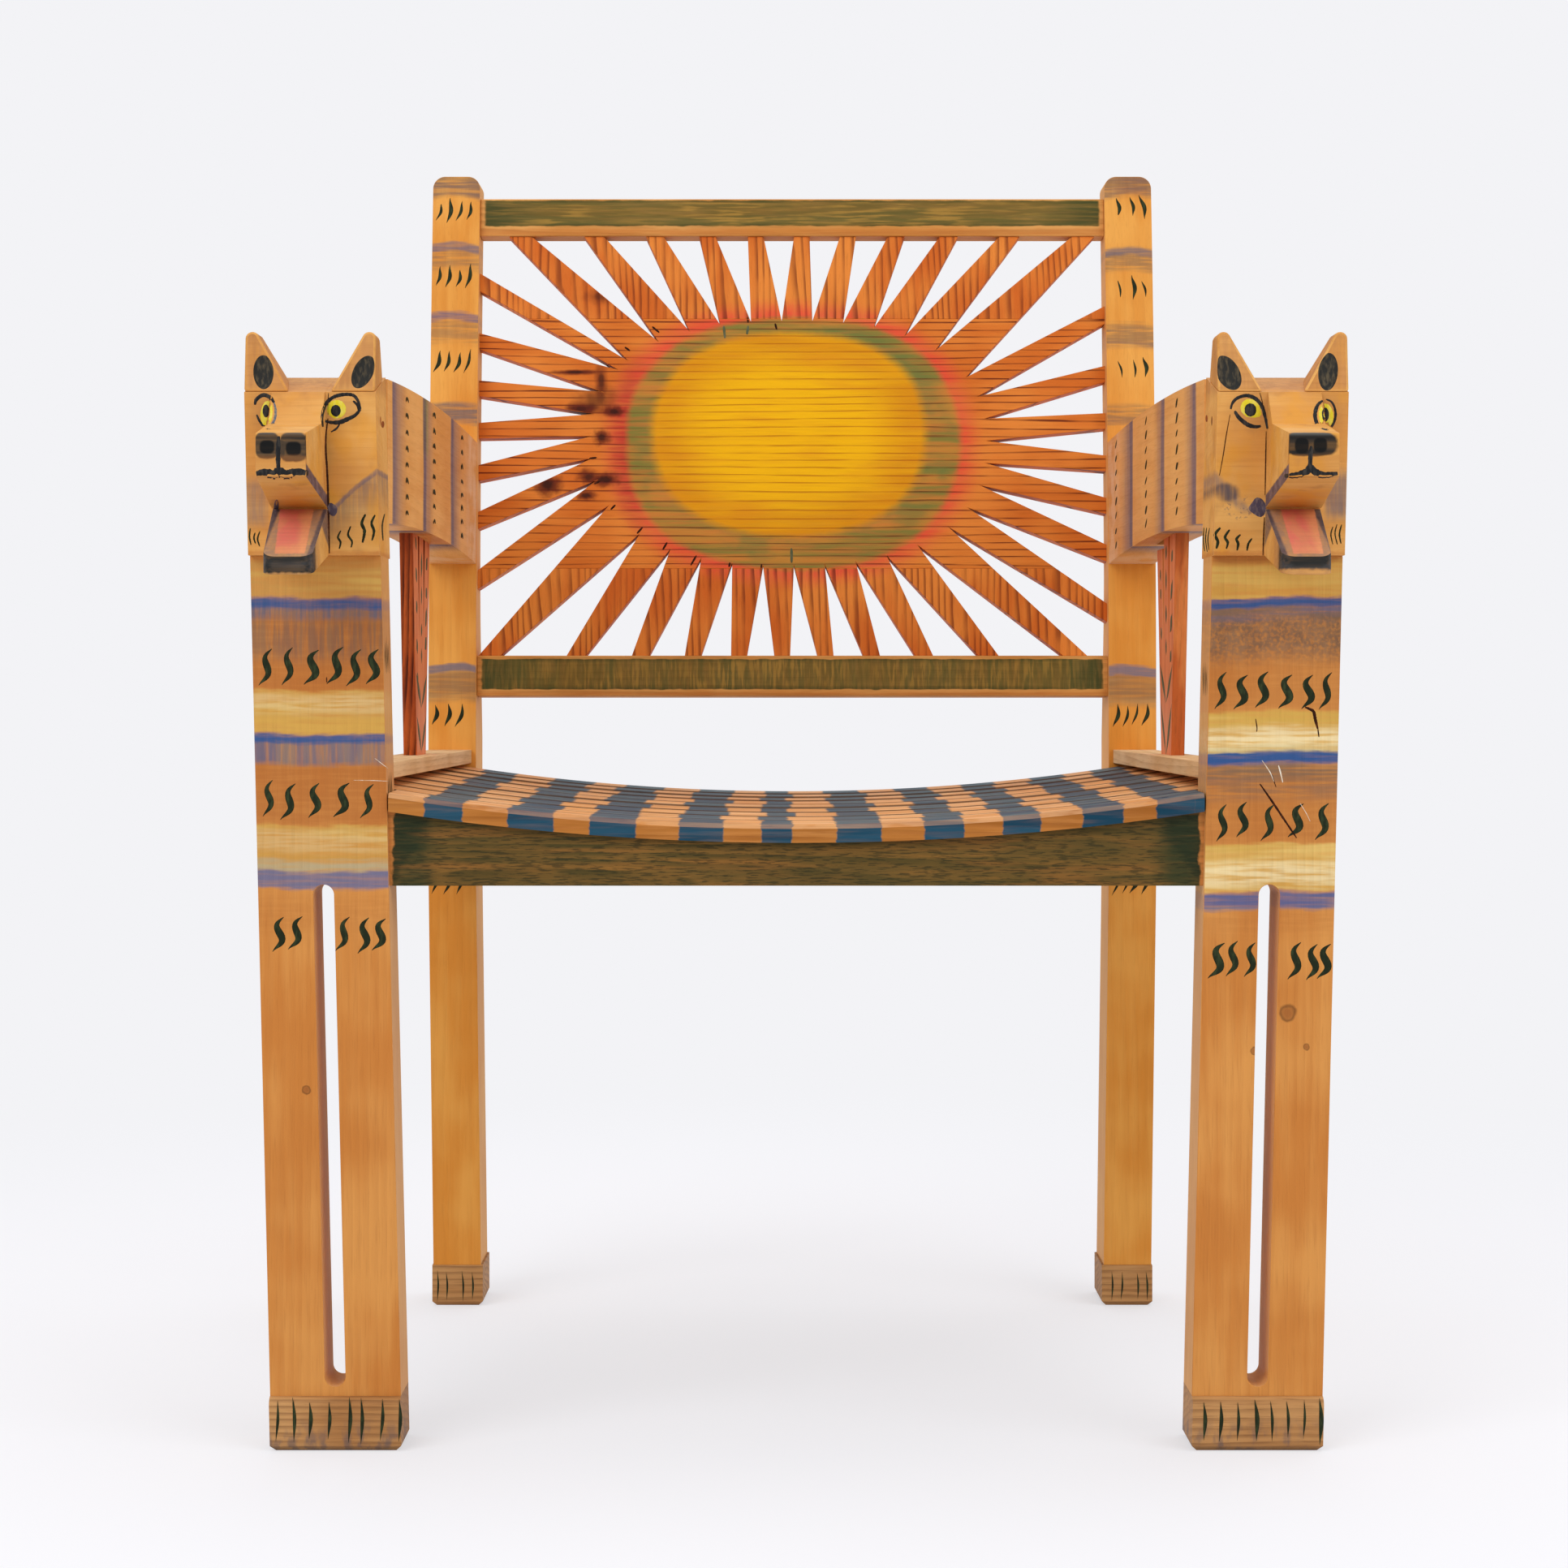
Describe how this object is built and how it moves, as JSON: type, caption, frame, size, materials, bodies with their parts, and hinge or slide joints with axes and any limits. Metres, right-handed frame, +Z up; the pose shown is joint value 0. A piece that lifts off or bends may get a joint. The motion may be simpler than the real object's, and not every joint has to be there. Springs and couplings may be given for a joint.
{
  "type": "carved wooden armchair",
  "caption": "Carved and painted wooden armchair with a sunburst back, a hollowed slatted seat and arms that end in open-mouthed animal heads.",
  "frame": {"origin": "on the floor, under the middle of the chair's bounding box", "axes": "+X to the right as seen from the front, +Y from the front to the back, +Z up"},
  "size_m": [0.724, 0.635, 0.921],
  "materials": {
    "front_wood": "satin, painted bands",
    "back_wood": "satin, painted bands",
    "paw_wood": "satin, dark claw strokes",
    "sun_wood": "satin, painted sun",
    "pale_wood": "raw",
    "splat_wood": "satin, painted leaves",
    "apron_green": "green stain",
    "rail_green": "olive stain",
    "seat_checks": "blue and orange painted checks",
    "dowel_wood": "raw",
    "nail_steel": "dull"
  },
  "bodies": {
    "root": {"front_leg_left": "front_wood", "front_leg_right": "front_wood", "front_paw_left": "paw_wood", "front_paw_right": "paw_wood", "back_leg_left": "back_wood", "back_leg_right": "back_wood", "back_paw_left": "paw_wood", "back_paw_right": "paw_wood", "front_apron": "apron_green", "rear_apron": "pale_wood", "seat_bearer": "pale_wood", "lower_side_rail_left": "pale_wood", "lower_side_rail_right": "pale_wood", "upper_side_rail_left": "pale_wood", "upper_side_rail_right": "pale_wood", "back_bottom_rail": "rail_green", "back_top_rail": "rail_green", "sun_centre_board": "sun_wood", "sun_upper_rays": "sun_wood", "sun_lower_rays": "sun_wood", "arm_left": "front_wood", "arm_right": "front_wood", "side_splat_left": "splat_wood", "side_splat_right": "splat_wood", "muzzle_board_left": "front_wood", "muzzle_board_right": "front_wood", "cheek_board_left": "front_wood", "cheek_board_right": "front_wood", "ear_outer_left": "front_wood", "ear_outer_right": "front_wood", "ear_inner_left": "front_wood", "ear_inner_right": "front_wood", "arm_dowels": "dowel_wood", "head_dowels": "dowel_wood", "paw_dowels": "dowel_wood", "head_pegs": "dowel_wood", "slat_nails": "nail_steel", "seat_slat_1": "seat_checks", "seat_slat_2": "seat_checks", "seat_slat_3": "seat_checks", "seat_slat_4": "seat_checks", "seat_slat_5": "seat_checks", "seat_slat_6": "seat_checks", "seat_slat_7": "seat_checks", "seat_slat_8": "seat_checks", "seat_slat_9": "seat_checks"}
  },
  "joints": []
}
